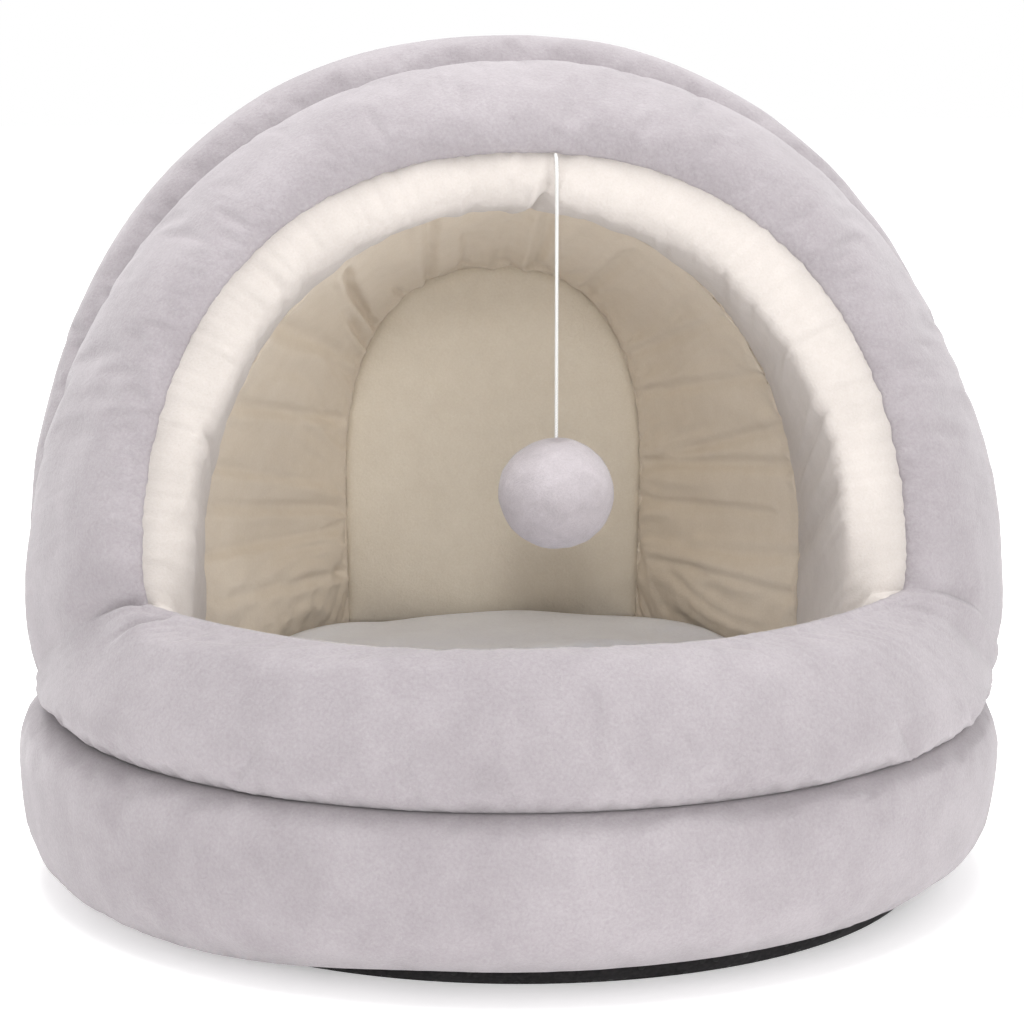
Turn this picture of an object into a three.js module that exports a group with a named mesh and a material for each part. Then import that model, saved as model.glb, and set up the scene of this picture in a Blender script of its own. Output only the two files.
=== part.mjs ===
// A round plush cat bed: a padded base, a hood of two stuffed tiers with a cream lining,
// a loose cushion, and a plush ball on an elastic string.
// Millimetres, +Z up, the opening faces -Y, the origin is on the floor under the middle of the base.

import * as THREE from 'three';
import { LoftGeometry } from 'three/addons/geometries/LoftGeometry.js';

// Space left between pieces that touch
const gap = 0.5;

// Base: a drum with a stuffed edge, on a thin non-slip panel. drift is how far the underside sits
// off to the right of the seam above.
const floorPanel = {
  radius: 191, height: 12, foot: 187, cornerZ: 5.4, puckers: 20, puckerDepth: 1.2, drift: 4
};
const base = {
  bottomZ: 12.5, hemZ: 13.5, footRadius: 190, bottomRadius: 203, seamZ: 82.5, seamRadius: 214,
  bulge: 18, spread: 0.16, startSpread: -0.2, square: 2.8, wellRadius: 152, wellDepth: 12,
  drift: 2
};

// Dish in the top of the base, as shares of its radius and of its depth
const wellRows = [
  { reach: 1, depth: 0 }, { reach: 0.8, depth: 0.75 }, { reach: 0.5, depth: 1 }, { reach: 0.2, depth: 0.98 }
];

// Arches, from foot to foot over the crown: half width, height and depth (y) at each level.
// shift moves the arch along X at its feet and at its crown.
const openingArch = {
  footHalf: 167, footZ: 149, footY: -98, half: 169, springZ: 165, crownZ: 340, crownY: -50,
  square: 2.2, shiftFoot: 0, shiftCrown: 0
};
const grooveOuterArch = {
  footHalf: 213, footZ: 83, footY: 15, half: 217, springZ: 122, crownZ: 368, crownY: 12,
  square: 2.06, shiftFoot: 4, shiftCrown: 2
};
const grooveInnerArch = {
  footHalf: 144, footZ: 83, footY: 12, half: 141, springZ: 140, crownZ: 309, crownY: 12,
  square: 2.1, shiftFoot: -3, shiftCrown: 0
};
const backOuterArch = {
  footHalf: 96, footZ: 83, footY: 196, half: 96, springZ: 170, crownZ: 308, crownY: 170,
  square: 2.4, shiftFoot: 2, shiftCrown: 6
};
const backInnerArch = {
  footHalf: 73, footZ: 83, footY: 146, half: 74, springZ: 160, crownZ: 266, crownY: 133,
  square: 2.4, shiftFoot: 4, shiftCrown: 4
};

// Lip: how far in front of the middle, and how high, its three seams run
const lipOpening = { frontRadius: 180, frontZ: 143 };
const lipOuterSeam = { frontRadius: 215, frontZ: 83 };
const lipInnerSeam = { frontRadius: 157, frontZ: 83 };

// Stuffing of the rolls. at is the place along the tier: 0 right foot, 1 crown, 2 left foot,
// 3 front of the lip, 4 right foot again. bulge is how far the cloth stands off the line between
// its seams, spread how far it rolls out past both seams, square how flat its middle is, and a
// lean under 1 brings the fullest part nearer to the opening.
const frontStuffing = [
  { at: 0, bulge: 26, spread: 0.27, square: 2.25 },
  { at: 0.45, bulge: 23, spread: 0.3, square: 2.2 },
  { at: 1, bulge: 20, spread: 0.35, square: 2.2 },
  { at: 1.55, bulge: 21, spread: 0.3, square: 2.2 },
  { at: 2, bulge: 21, spread: 0.26, square: 2.25 },
  { at: 3, bulge: 21, spread: 0.3, square: 2.35 },
  { at: 4, bulge: 26, spread: 0.27, square: 2.25 }
];
const frontLiningStuffing = [
  { at: 0, bulge: 18, spread: 0.06, square: 1.5, lean: 0.3 },
  { at: 0.12, bulge: 26, spread: 0.06, square: 1.4, lean: 0.27 },
  { at: 0.45, bulge: 25, spread: 0.06, square: 1.4, lean: 0.28 },
  { at: 1, bulge: 20.5, spread: 0.06, square: 1.4, lean: 0.37 },
  { at: 1.55, bulge: 22.5, spread: 0.06, square: 1.4, lean: 0.3 },
  { at: 1.88, bulge: 21.5, spread: 0.06, square: 1.4, lean: 0.27 },
  { at: 2, bulge: 14, spread: 0.06, square: 1.6, lean: 0.35 },
  { at: 2.2, bulge: 6, spread: 0.2, square: 2, lean: 1 },
  { at: 3.8, bulge: 6, spread: 0.2, square: 2, lean: 1 },
  { at: 4, bulge: 18, spread: 0.06, square: 1.5, lean: 0.3 }
];
const rearStuffing = [
  { at: 0, bulge: 30, spread: 0.12, square: 2.1 },
  { at: 0.45, bulge: 38, spread: 0.24, square: 2.1 },
  { at: 1, bulge: 36, spread: 0.28, square: 2.1 },
  { at: 1.4, bulge: 46, spread: 0.26, square: 2.15 },
  { at: 1.7, bulge: 42, spread: 0.2, square: 2.15 },
  { at: 2, bulge: 30, spread: 0.12, square: 2.1 }
];
const rearLiningStuffing = [
  { at: 0, bulge: 0.5, spread: 0.1, square: 2 },
  { at: 1, bulge: 3, spread: 0.1, square: 2 },
  { at: 2, bulge: 0.5, spread: 0.1, square: 2 }
];

// Share of the wall between the two seams of a tier that belongs to the lining
const liningShare = 0.4;

// Pleats drawn up by the seams, as waves along a tier: number of waves from foot to foot, start, height
const frontLiningPleats = [
  { waves: 15, start: 0.2, height: 1.1 },
  { waves: 11, start: 0.6, height: 0.8 }
];
const rearLiningPleats = [
  { waves: 17, start: 0.4, height: 1.3 },
  { waves: 12, start: 0.1, height: 1.1 }
];

// Creases that run out from the opening over the front tier: place along the tier, half width there
// and depth at the opening, where a negative depth is a ridge
const frontCreases = [
  { at: 2.0, width: 0.03, depth: 3.5 },
  { at: 2.12, width: 0.045, depth: -1.5 },
  { at: 2.24, width: 0.035, depth: 2 },
  { at: 1.88, width: 0.04, depth: -1 },
  { at: 0.0, width: 0.03, depth: 2 },
  { at: 3.86, width: 0.045, depth: -1 }
];

// Back panel: how far its grey and cream sides are crowned, how far its grey foot follows the round
// of the base, and the space left to the rear tier round its edge
const backCrown = { outer: 13, inner: 5, footBow: 15 };
const panelClearance = 1.1;

// Cushion: plan outline, thickness and crown
const cushion = {
  frontReach: 153, backReach: 141, half: 134, frontSquare: 2, backSquare: 1.6,
  topZ: 97, edgeZ: 89, bottomZ: 83
};

// String and ball. The string comes forward from its hook and hangs straight from straightZ down.
const stringSize = { radius: 1, x: 16, y: -58, topZ: 339.2, hookY: -51.6, turnZ: 334.2, straightZ: 319.2 };
const ballSize = { halfWidth: 26, halfHeight: 25, centreZ: 187.5 };

// Facets
const facets = {
  arch: 60, lip: 44, rollOut: 11, rollIn: 10, rearOut: 12, rearIn: 9, ring: 60, base: 9, ball: 22, ballRows: 15
};

const materials = {
  greyPlush: { color: 0xc9c3c6, roughness: 0.95, metalness: 0 },
  creamVelvet: { color: 0xe6dccb, roughness: 0.9, metalness: 0 },
  blackGrip: { color: 0x1f1b1f, roughness: 0.85, metalness: 0 },
  whiteElastic: { color: 0xf1efec, roughness: 0.8, metalness: 0 }
};

const lerp = THREE.MathUtils.lerp;

function signedPower(value, power) {
  return Math.sign(value) * Math.abs(value) ** power;
}

// Points evenly spaced along a smooth line through the given points
function evenly(points, steps) {
  const line = new THREE.CatmullRomCurve3(points, false, 'centripetal');
  line.arcLengthDivisions = 600;
  return line.getSpacedPoints(steps);
}

// An arch from its right foot over the crown to its left foot
function archPoints(arch, steps) {
  const legSteps = 5;
  const bowSteps = 48;
  const points = [];
  const place = (side, z) => {
    const rise = (z - arch.footZ) / (arch.crownZ - arch.footZ);
    const shift = lerp(arch.shiftFoot, arch.shiftCrown, rise);
    return new THREE.Vector3(side + shift, lerp(arch.footY, arch.crownY, rise), z);
  };
  for (let step = 0; step < legSteps; step += 1) {
    const rise = step / legSteps;
    const side = lerp(arch.footHalf, arch.half, Math.sin(rise * Math.PI / 2));
    points.push(place(side, lerp(arch.footZ, arch.springZ, rise)));
  }
  for (let step = 0; step <= bowSteps; step += 1) {
    const angle = Math.PI * step / bowSteps;
    const side = arch.half * signedPower(Math.cos(angle), 2 / arch.square);
    const rise = Math.max(0, Math.sin(angle)) ** (2 / arch.square);
    points.push(place(side, lerp(arch.springZ, arch.crownZ, rise)));
  }
  for (let step = legSteps - 1; step >= 0; step -= 1) {
    const rise = step / legSteps;
    const side = lerp(arch.footHalf, arch.half, Math.sin(rise * Math.PI / 2));
    points.push(place(-side, lerp(arch.footZ, arch.springZ, rise)));
  }
  return evenly(points, steps);
}

// The seam of the lip from the left foot of an arch, round the front, to its right foot
function lipPoints(lip, leftFoot, rightFoot, steps) {
  const detail = 40;
  const points = [];
  for (let step = 0; step <= detail; step += 1) {
    const turn = 2 * step / detail - 1;
    const foot = turn < 0 ? leftFoot : rightFoot;
    const footAngle = Math.atan2(foot.x, -foot.y);
    const angle = Math.abs(turn) * footAngle;
    const away = (1 - Math.cos(angle)) / (1 - Math.cos(footAngle));
    const radius = lerp(lip.frontRadius, Math.hypot(foot.x, foot.y), away);
    const z = lerp(lip.frontZ, foot.z, away);
    points.push(new THREE.Vector3(radius * Math.sin(angle), -radius * Math.cos(angle), z));
  }
  return evenly(points, steps);
}

// A whole loop: arch, then lip, ending where it started
function loopPoints(arch, lip) {
  const over = archPoints(arch, facets.arch);
  const round = lipPoints(lip, over[facets.arch], over[0], facets.lip);
  return over.concat(round.slice(1));
}

// Place along the loop: 0 right foot, 1 crown, 2 left foot, 3 front of the lip, 4 right foot
function loopPlace(index) {
  if (index <= facets.arch) return 2 * index / facets.arch;
  return 2 + 2 * (index - facets.arch) / facets.lip;
}

// Stuffing at a place, blended smoothly between the rows of its table
function stuffingAt(table, place) {
  let next = 1;
  while (next < table.length - 1 && place > table[next].at) next += 1;
  const from = table[next - 1];
  const to = table[next];
  const part = THREE.MathUtils.smoothstep(place, from.at, to.at);
  return {
    bulge: lerp(from.bulge, to.bulge, part),
    spread: lerp(from.spread, to.spread, part),
    square: lerp(from.square, to.square, part),
    lean: lerp(from.lean ?? 1, to.lean ?? 1, part)
  };
}

// The stuffed curve from one seam to another, standing off on the side away from a third point.
// startSpread, where it is given, takes the place of spread in the first half.
function stuffedCurve(from, to, awayFrom, stuffing, steps, raise) {
  const chord = new THREE.Vector3().subVectors(to, from);
  const length = chord.length();
  chord.normalize();
  const out = new THREE.Vector3().subVectors(from, awayFrom);
  out.addScaledVector(chord, -out.dot(chord)).normalize();
  const points = [];
  for (let step = 0; step <= steps; step += 1) {
    const share = (1 - Math.cos(Math.PI * step / steps)) / 2;
    const middle = 2 * share ** (stuffing.lean ?? 1) - 1;
    const height = Math.max(0, 1 - Math.abs(middle) ** stuffing.square) ** (1 / stuffing.square);
    const off = height * (stuffing.bulge + (raise ? raise(share) : 0));
    const spread = middle < 0 ? stuffing.startSpread ?? stuffing.spread : stuffing.spread;
    points.push(from.clone()
      .addScaledVector(chord, share * length + off * middle * spread)
      .addScaledVector(out, off));
  }
  return points;
}

// Height of the pleats at a place along a tier
function pleats(table, place) {
  let sum = 0;
  for (const row of table) {
    sum += row.height * Math.sin(2 * Math.PI * (row.waves * place / 2 + row.start));
  }
  return sum;
}

// Depth of the creases at a place along the front tier, fading away from the opening
function creaseDepth(place, share) {
  let sum = 0;
  for (const row of frontCreases) {
    const apart = Math.abs(place - row.at);
    const away = Math.min(apart, 4 - apart) / row.width;
    sum += row.depth * Math.exp(-away * away);
  }
  return sum * (1 - THREE.MathUtils.smoothstep(share, 0.12, 0.5));
}

// Two solids from the same wall: the point that parts them, moved half a gap to one side
function partedBy(from, to, side) {
  const along = new THREE.Vector3().subVectors(to, from).normalize();
  const across = new THREE.Vector3().subVectors(side, from);
  across.addScaledVector(along, -across.dot(along)).normalize();
  return across.multiplyScalar(gap / 2);
}

// A loft whose sections run the other way round: its wall is turned over, so that it faces out
function turnedLoft(sections, ends) {
  const geometry = new LoftGeometry(sections, ends);
  const index = geometry.getIndex();
  const wallCorners = (sections.length - 1) * sections[0].length * 6;
  for (let corner = 0; corner < wallCorners; corner += 3) {
    const second = index.getX(corner + 1);
    index.setX(corner + 1, index.getX(corner + 2));
    index.setX(corner + 2, second);
  }
  geometry.computeVertexNormals();
  return geometry;
}

function mesh(name, geometry, look) {
  const made = new THREE.Mesh(geometry, new THREE.MeshStandardMaterial(materials[look]));
  made.name = name;
  return made;
}

// Front tier: stuffed between the opening, the outer groove and the inner groove
function frontTier() {
  const opening = loopPoints(openingArch, lipOpening);
  const outer = loopPoints(grooveOuterArch, lipOuterSeam);
  const inner = loopPoints(grooveInnerArch, lipInnerSeam);
  const roll = [];
  const lining = [];
  opening.forEach((mouth, index) => {
    const place = loopPlace(index);
    const outerSeam = outer[index];
    const innerSeam = inner[index];
    const split = new THREE.Vector3().lerpVectors(innerSeam, outerSeam, liningShare);
    const shift = partedBy(mouth, split, outerSeam);
    const rollSide = stuffedCurve(
      mouth.clone().add(shift), outerSeam, innerSeam, stuffingAt(frontStuffing, place), facets.rollOut,
      (share) => -creaseDepth(place, share)
    );
    rollSide.push(split.clone().add(shift));
    roll.push(rollSide);
    const pleat = pleats(frontLiningPleats, place);
    const liningSide = stuffedCurve(
      mouth.clone().sub(shift), innerSeam, outerSeam, stuffingAt(frontLiningStuffing, place), facets.rollIn,
      () => pleat
    );
    liningSide.push(split.clone().sub(shift));
    lining.push(liningSide);
  });
  return [
    mesh('front_roll', new LoftGeometry(roll), 'greyPlush'),
    mesh('front_lining', turnedLoft(lining), 'creamVelvet')
  ];
}

// Rear tier: stuffed between the grooves and the arched edge of the back panel
function rearTier() {
  const outerFront = archPoints(grooveOuterArch, facets.arch);
  const innerFront = archPoints(grooveInnerArch, facets.arch);
  const outerBack = archPoints(backOuterArch, facets.arch);
  const innerBack = archPoints(backInnerArch, facets.arch);
  const behind = new THREE.Vector3(0, gap, 0);
  const roll = [];
  const lining = [];
  outerFront.forEach((point, index) => {
    const place = loopPlace(index);
    const outerStart = point.clone().add(behind);
    const innerStart = innerFront[index].clone().add(behind);
    const outerEnd = outerBack[index];
    const innerEnd = innerBack[index];
    const startSplit = new THREE.Vector3().lerpVectors(innerStart, outerStart, liningShare);
    const endSplit = new THREE.Vector3().lerpVectors(innerEnd, outerEnd, liningShare);
    const shift = partedBy(startSplit, endSplit, outerStart);
    const rollSide = stuffedCurve(
      outerStart, outerEnd, innerStart, stuffingAt(rearStuffing, place), facets.rearOut
    );
    rollSide.push(endSplit.clone().add(shift), startSplit.clone().add(shift));
    roll.push(rollSide);
    const pleat = pleats(rearLiningPleats, place);
    const liningSide = stuffedCurve(
      innerStart, innerEnd, outerStart, stuffingAt(rearLiningStuffing, place), facets.rearIn,
      () => pleat
    );
    liningSide.push(endSplit.clone().sub(shift), startSplit.clone().sub(shift));
    lining.push(liningSide);
  });
  const ends = { capStart: true, capEnd: true };
  return [
    mesh('rear_roll', new LoftGeometry(roll, ends), 'greyPlush'),
    mesh('rear_lining', turnedLoft(lining, ends), 'creamVelvet')
  ];
}

// An arched outline, closed along its foot, which bows back by footBow
function archOutline(arch, footBow) {
  const bow = archPoints(arch, facets.arch / 2);
  const footSteps = 8;
  const foot = [];
  for (let step = 1; step < footSteps; step += 1) {
    const across = step / footSteps;
    const point = new THREE.Vector3().lerpVectors(bow[bow.length - 1], bow[0], across);
    point.y += footBow * 4 * across * (1 - across);
    foot.push(point);
  }
  return bow.concat(foot);
}

// One side of the back panel: flat where the two sides part, crowned where it shows
function backSide(edge, partLine, crown, toward) {
  const middle = new THREE.Vector3();
  for (const point of edge) middle.add(point);
  middle.divideScalar(edge.length);
  const rows = [
    { reach: 1, rise: 0 }, { reach: 0.94, rise: 0.5 }, { reach: 0.82, rise: 0.78 },
    { reach: 0.6, rise: 0.93 }, { reach: 0.34, rise: 0.98 }, { reach: 0.1, rise: 1 }
  ];
  const sections = [partLine];
  for (const row of rows) {
    sections.push(edge.map((point) => new THREE.Vector3(
      lerp(middle.x, point.x, row.reach),
      lerp(middle.y, point.y, row.reach) + toward * crown * row.rise,
      lerp(middle.z, point.z, row.reach)
    )));
  }
  return sections;
}

function backPanel() {
  const outer = archOutline(backOuterArch, backCrown.footBow);
  const inner = archOutline(backInnerArch, 0);
  const straight = archOutline(backOuterArch, 0);
  const partLine = (toward) => inner.map((point, index) => {
    const split = new THREE.Vector3().lerpVectors(point, straight[index], liningShare);
    return split.add(new THREE.Vector3(0, toward * gap / 2, 0));
  });
  const middle = new THREE.Vector3(backInnerArch.shiftFoot, 0, backInnerArch.springZ);
  const clearOf = (points) => points.map((point) => {
    const away = new THREE.Vector3(point.x - middle.x, 0, point.z - middle.z).normalize();
    return point.clone().addScaledVector(away, -panelClearance);
  });
  const outerSide = backSide(clearOf(outer), clearOf(partLine(1)), backCrown.outer, 1);
  const innerSide = backSide(clearOf(inner), clearOf(partLine(-1)), backCrown.inner, -1);
  const ends = { capStart: true, capEnd: true };
  return [
    mesh('back_panel', new LoftGeometry(outerSide.map((row) => row.reverse()), ends), 'greyPlush'),
    mesh('back_lining', new LoftGeometry(innerSide, ends), 'creamVelvet')
  ];
}

// A flat ring of points, its radius given for each angle
function ring(radiusAt, z, drift = 0) {
  const points = [];
  for (let step = 0; step < facets.ring; step += 1) {
    const angle = 2 * Math.PI * step / facets.ring;
    const radius = radiusAt(angle);
    points.push(new THREE.Vector3(drift + radius * Math.cos(angle), radius * Math.sin(angle), z));
  }
  return points;
}

function baseRoll() {
  const centre = new THREE.Vector3(0, 0, (base.bottomZ + base.seamZ) / 2);
  const side = stuffedCurve(
    new THREE.Vector3(base.bottomRadius, 0, base.hemZ), new THREE.Vector3(base.seamRadius, 0, base.seamZ),
    centre, base, facets.base
  );
  const rows = [{ radius: base.footRadius, z: base.bottomZ }];
  side.forEach((point) => rows.push({ radius: point.x, z: point.z }));
  wellRows.forEach((row) => {
    rows.push({ radius: base.wellRadius * row.reach, z: base.seamZ - base.wellDepth * row.depth });
  });
  const height = base.seamZ - base.bottomZ;
  const sections = rows.map((row) => {
    const drift = row.radius > base.wellRadius ? base.drift * (base.seamZ - row.z) / height : 0;
    return ring(() => row.radius, row.z, drift);
  });
  return mesh('base_roll', new LoftGeometry(sections, { capStart: true, capEnd: true }), 'greyPlush');
}

function bottomPanel() {
  const rows = [
    { radius: floorPanel.foot, z: 0 }, { radius: floorPanel.radius, z: floorPanel.cornerZ },
    { radius: floorPanel.radius, z: floorPanel.height }
  ];
  const puckered = (radius) => (angle) => radius + floorPanel.puckerDepth * Math.sin(floorPanel.puckers * angle);
  const sections = rows.map((row) => {
    return ring(row.z > 0 ? puckered(row.radius) : () => row.radius, row.z, floorPanel.drift);
  });
  return mesh('bottom_panel', new LoftGeometry(sections, { capStart: true, capEnd: true }), 'blackGrip');
}

// Cushion outline: round in front, drawn in toward the narrow back of the den
function cushionRadius(angle) {
  const front = Math.sin(angle) < 0;
  const reach = front ? cushion.frontReach : cushion.backReach;
  const square = front ? cushion.frontSquare : cushion.backSquare;
  const across = Math.abs(Math.cos(angle)) / cushion.half;
  const deep = Math.abs(Math.sin(angle)) / reach;
  return (across ** square + deep ** square) ** (-1 / square);
}

function cushionPad() {
  const dish = base.wellDepth;
  const rows = [
    { reach: 0.5, z: cushion.bottomZ - dish + gap }, { reach: 0.8, z: cushion.bottomZ - dish * 0.6 },
    { reach: 0.96, z: cushion.bottomZ + 0.5 }, { reach: 1, z: cushion.edgeZ },
    { reach: 0.97, z: cushion.topZ - 3 }, { reach: 0.88, z: cushion.topZ - 0.5 },
    { reach: 0.6, z: cushion.topZ + 0.5 }, { reach: 0.25, z: cushion.topZ + 1 }
  ];
  const sections = rows.map((row) => ring((angle) => row.reach * cushionRadius(angle), row.z));
  return mesh('cushion', new LoftGeometry(sections, { capStart: true, capEnd: true }), 'greyPlush');
}

function ball() {
  const geometry = new THREE.SphereGeometry(1, facets.ball, facets.ballRows);
  geometry.rotateX(Math.PI / 2);
  geometry.scale(ballSize.halfWidth, ballSize.halfWidth, ballSize.halfHeight);
  const made = mesh('ball', geometry, 'greyPlush');
  made.position.set(stringSize.x, stringSize.y, ballSize.centreZ);
  return made;
}

// The string leaves the seam at the crown, comes forward over the lining and hangs straight
function string() {
  const { radius, x, y, topZ, hookY, turnZ, straightZ } = stringSize;
  const endZ = ballSize.centreZ + ballSize.halfHeight + gap;
  const path = new THREE.CatmullRomCurve3([
    new THREE.Vector3(x, hookY, topZ),
    new THREE.Vector3(x, y + radius, turnZ),
    new THREE.Vector3(x, y, straightZ),
    new THREE.Vector3(x, y, (topZ + endZ) / 2),
    new THREE.Vector3(x, y, endZ)
  ], false, 'centripetal');
  const section = new THREE.Shape();
  section.absarc(0, 0, radius, 0, 2 * Math.PI);
  const geometry = new THREE.ExtrudeGeometry(section, { steps: 24, curveSegments: 4, extrudePath: path });
  return mesh('string', geometry, 'whiteElastic');
}

const group = new THREE.Group();
group.add(bottomPanel(), baseRoll(), ...frontTier(), ...rearTier(), ...backPanel(), cushionPad(), string(), ball());

export default group;
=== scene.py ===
import math
import bmesh
import bpy
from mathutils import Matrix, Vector, noise


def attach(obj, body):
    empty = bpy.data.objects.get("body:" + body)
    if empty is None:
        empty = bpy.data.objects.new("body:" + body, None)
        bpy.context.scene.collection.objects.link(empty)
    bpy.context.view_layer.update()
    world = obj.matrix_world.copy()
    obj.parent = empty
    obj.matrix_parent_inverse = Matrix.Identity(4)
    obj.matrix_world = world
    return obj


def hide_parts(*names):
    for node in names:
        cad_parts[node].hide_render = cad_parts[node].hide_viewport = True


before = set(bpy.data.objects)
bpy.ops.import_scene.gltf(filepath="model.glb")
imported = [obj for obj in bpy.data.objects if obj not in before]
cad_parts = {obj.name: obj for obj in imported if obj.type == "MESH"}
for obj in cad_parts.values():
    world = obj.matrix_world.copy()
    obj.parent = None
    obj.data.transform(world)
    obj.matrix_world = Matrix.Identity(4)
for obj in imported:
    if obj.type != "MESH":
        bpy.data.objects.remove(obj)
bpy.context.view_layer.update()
scene = bpy.context.scene
print("frame loaded:", len(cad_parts), "solids")


# Camera

cameraSpot = Vector((-0.1454, -1.6754, 0.4949))  # a little left of the middle, just above the ball
cameraAim = Vector((0.0, -0.013, 0.1705))
cameraLens = 129.33

cameraData = bpy.data.cameras.new("photoCamera")
cameraData.lens = cameraLens
cameraData.sensor_width = 36
camera = bpy.data.objects.new("photoCamera", cameraData)
camera.location = cameraSpot
camera.rotation_euler = (cameraAim - cameraSpot).to_track_quat("-Z", "Y").to_euler()
scene.collection.objects.link(camera)
scene.camera = camera
scene.view_settings.view_transform = "Standard"


# Small helpers for cloth

def blendOf(low, high, part):
    return low + (high - low) * part


def softStep(value, low, high):
    part = min(1.0, max(0.0, (value - low) / (high - low)))
    return part * part * (3 - 2 * part)


def signedPower(value, power):
    return math.copysign(abs(value) ** power, value)


def evenly(points, steps):
    # points along a line, a whole number of even steps apart
    lengths = [0.0]
    for before, after in zip(points, points[1:]):
        lengths.append(lengths[-1] + (after - before).length)
    spaced, here = [], 0
    for step in range(steps + 1):
        wanted = lengths[-1] * step / steps
        while here < len(points) - 2 and lengths[here + 1] < wanted:
            here += 1
        span = lengths[here + 1] - lengths[here]
        spaced.append(points[here].lerp(points[here + 1], (wanted - lengths[here]) / span))
    return spaced


def clothGrid(across, down, pointAt):
    # a sheet of cloth, each corner of the grid put in its place, then sewn where edges meet
    bm = bmesh.new()
    bmesh.ops.create_grid(bm, x_segments=across, y_segments=down, size=1)
    spots = []
    for vert in bm.verts:
        along, share = (vert.co.x + 1) / 2, (vert.co.y + 1) / 2
        vert.co = pointAt(along, share)
        spots.append((vert, along, share))
    bmesh.ops.remove_doubles(bm, verts=bm.verts, dist=0.00002)
    bmesh.ops.recalc_face_normals(bm, faces=bm.faces)
    bm.normal_update()
    return bm, [spot for spot in spots if spot[0].is_valid]


def rumple(bm, spots, heightAt):
    # moves the cloth along its own normals
    moves = [(vert, vert.normal * heightAt(along, share, vert.co)) for vert, along, share in spots]
    for vert, move in moves:
        vert.co += move
    bm.normal_update()


def swell(bm, heldWeight, size):
    # cloth simulation: the stuffing presses the cloth outwards while its seams hold it,
    # and no point moves further than the cap
    bm.verts.ensure_lookup_table()
    bm.verts.index_update()
    mesh = bpy.data.meshes.new("swelling")
    bm.to_mesh(mesh)
    piece = bpy.data.objects.new("swelling", mesh)
    scene.collection.objects.link(piece)
    held = piece.vertex_groups.new(name="seams")
    for vert in bm.verts:
        held.add([vert.index], heldWeight(vert), "REPLACE")
    cloth = piece.modifiers.new("swelling", "CLOTH")
    cloth.settings.quality = 3
    cloth.settings.mass = 0.3
    cloth.settings.tension_stiffness = 12
    cloth.settings.compression_stiffness = 12
    cloth.settings.shear_stiffness = 4
    cloth.settings.bending_stiffness = size["stiffness"]
    cloth.settings.shrink_min = -size["fullness"]
    cloth.settings.use_pressure = True
    cloth.settings.uniform_pressure_force = size["pressure"]
    cloth.settings.vertex_group_mass = "seams"
    cloth.settings.effector_weights.gravity = 0
    cloth.collision_settings.use_collision = False
    for frameNumber in range(1, size["frames"] + 1):
        scene.frame_set(frameNumber)
    swollen = piece.evaluated_get(bpy.context.evaluated_depsgraph_get()).to_mesh()
    furthest = 0.0
    for vert in bm.verts:
        move = swollen.vertices[vert.index].co - vert.co
        furthest = max(furthest, move.length)
        if move.length > size["cap"]:
            move *= size["cap"] / move.length
        vert.co += move
    bpy.data.objects.remove(piece)
    scene.frame_set(1)
    bm.normal_update()
    print("swollen", len(bm.verts), "points, furthest", round(furthest * 1000, 1), "mm")


def finishPiece(bm, name, material, node):
    # turns a bmesh into a smooth stuffed piece that stands for its node
    mesh = bpy.data.meshes.new(name)
    bm.to_mesh(mesh)
    bm.free()
    mesh.materials.append(material)
    mesh.polygons.foreach_set("use_smooth", [True] * len(mesh.polygons))
    piece = bpy.data.objects.new(name, mesh)
    scene.collection.objects.link(piece)
    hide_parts(node)
    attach(piece, "root")
    print("made", piece.name, len(mesh.polygons), "faces")
    return piece


def waves(value, seed):
    return noise.noise(Vector((value, seed * 7.31, seed * 3.7)))


def foldHeight(folds, place, share, around=None):
    # soft troughs with a ridge beside each; at is the place, lean how it slants with the share
    total = 0.0
    for fold in folds:
        apart = place - fold["at"] - fold["lean"] * (share - fold["start"])
        if around:
            apart = (apart + around / 2) % around - around / 2
        across = apart / fold["width"]
        if abs(across) > 4:
            continue
        fade = softStep(share, fold["start"] - 0.06, fold["start"] + 0.04)
        fade *= 1 - softStep(share, fold["end"] - 0.18, fold["end"])
        trough = -math.exp(-across * across) + 0.4 * math.exp(-(across - 1.6) ** 2)
        total += fold["depth"] * fade * trough
    return total * min(1.0, share / 0.05, (1 - share) / 0.03)


# Materials

def newMaterial(name):
    material = bpy.data.materials.new(name)
    material.use_nodes = True
    nodes, links = material.node_tree.nodes, material.node_tree.links
    return material, nodes, links, nodes["Principled BSDF"]


def noiseNode(nodes, links, coordinates, scale, detail, roughness=0.5, distortion=0.0):
    made = nodes.new("ShaderNodeTexNoise")
    made.inputs["Scale"].default_value = scale
    made.inputs["Detail"].default_value = detail
    made.inputs["Roughness"].default_value = roughness
    made.inputs["Distortion"].default_value = distortion
    links.new(coordinates, made.inputs["Vector"])
    return made


def rangeNode(nodes, links, value, low, high, toLow, toHigh):
    made = nodes.new("ShaderNodeMapRange")
    for key, number in (("From Min", low), ("From Max", high), ("To Min", toLow), ("To Max", toHigh)):
        made.inputs[key].default_value = number
    links.new(value, made.inputs["Value"])
    return made.outputs["Result"]


def mixColours(nodes, links, factor, first, second, kind="MIX"):
    made = nodes.new("ShaderNodeMix")
    made.data_type = "RGBA"
    made.blend_type = kind
    if isinstance(factor, float):
        made.inputs[0].default_value = factor
    else:
        links.new(factor, made.inputs[0])
    for socket, value in ((6, first), (7, second)):
        if isinstance(value, tuple):
            made.inputs[socket].default_value = (*value, 1)
        else:
            links.new(value, made.inputs[socket])
    return made.outputs[2]


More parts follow.
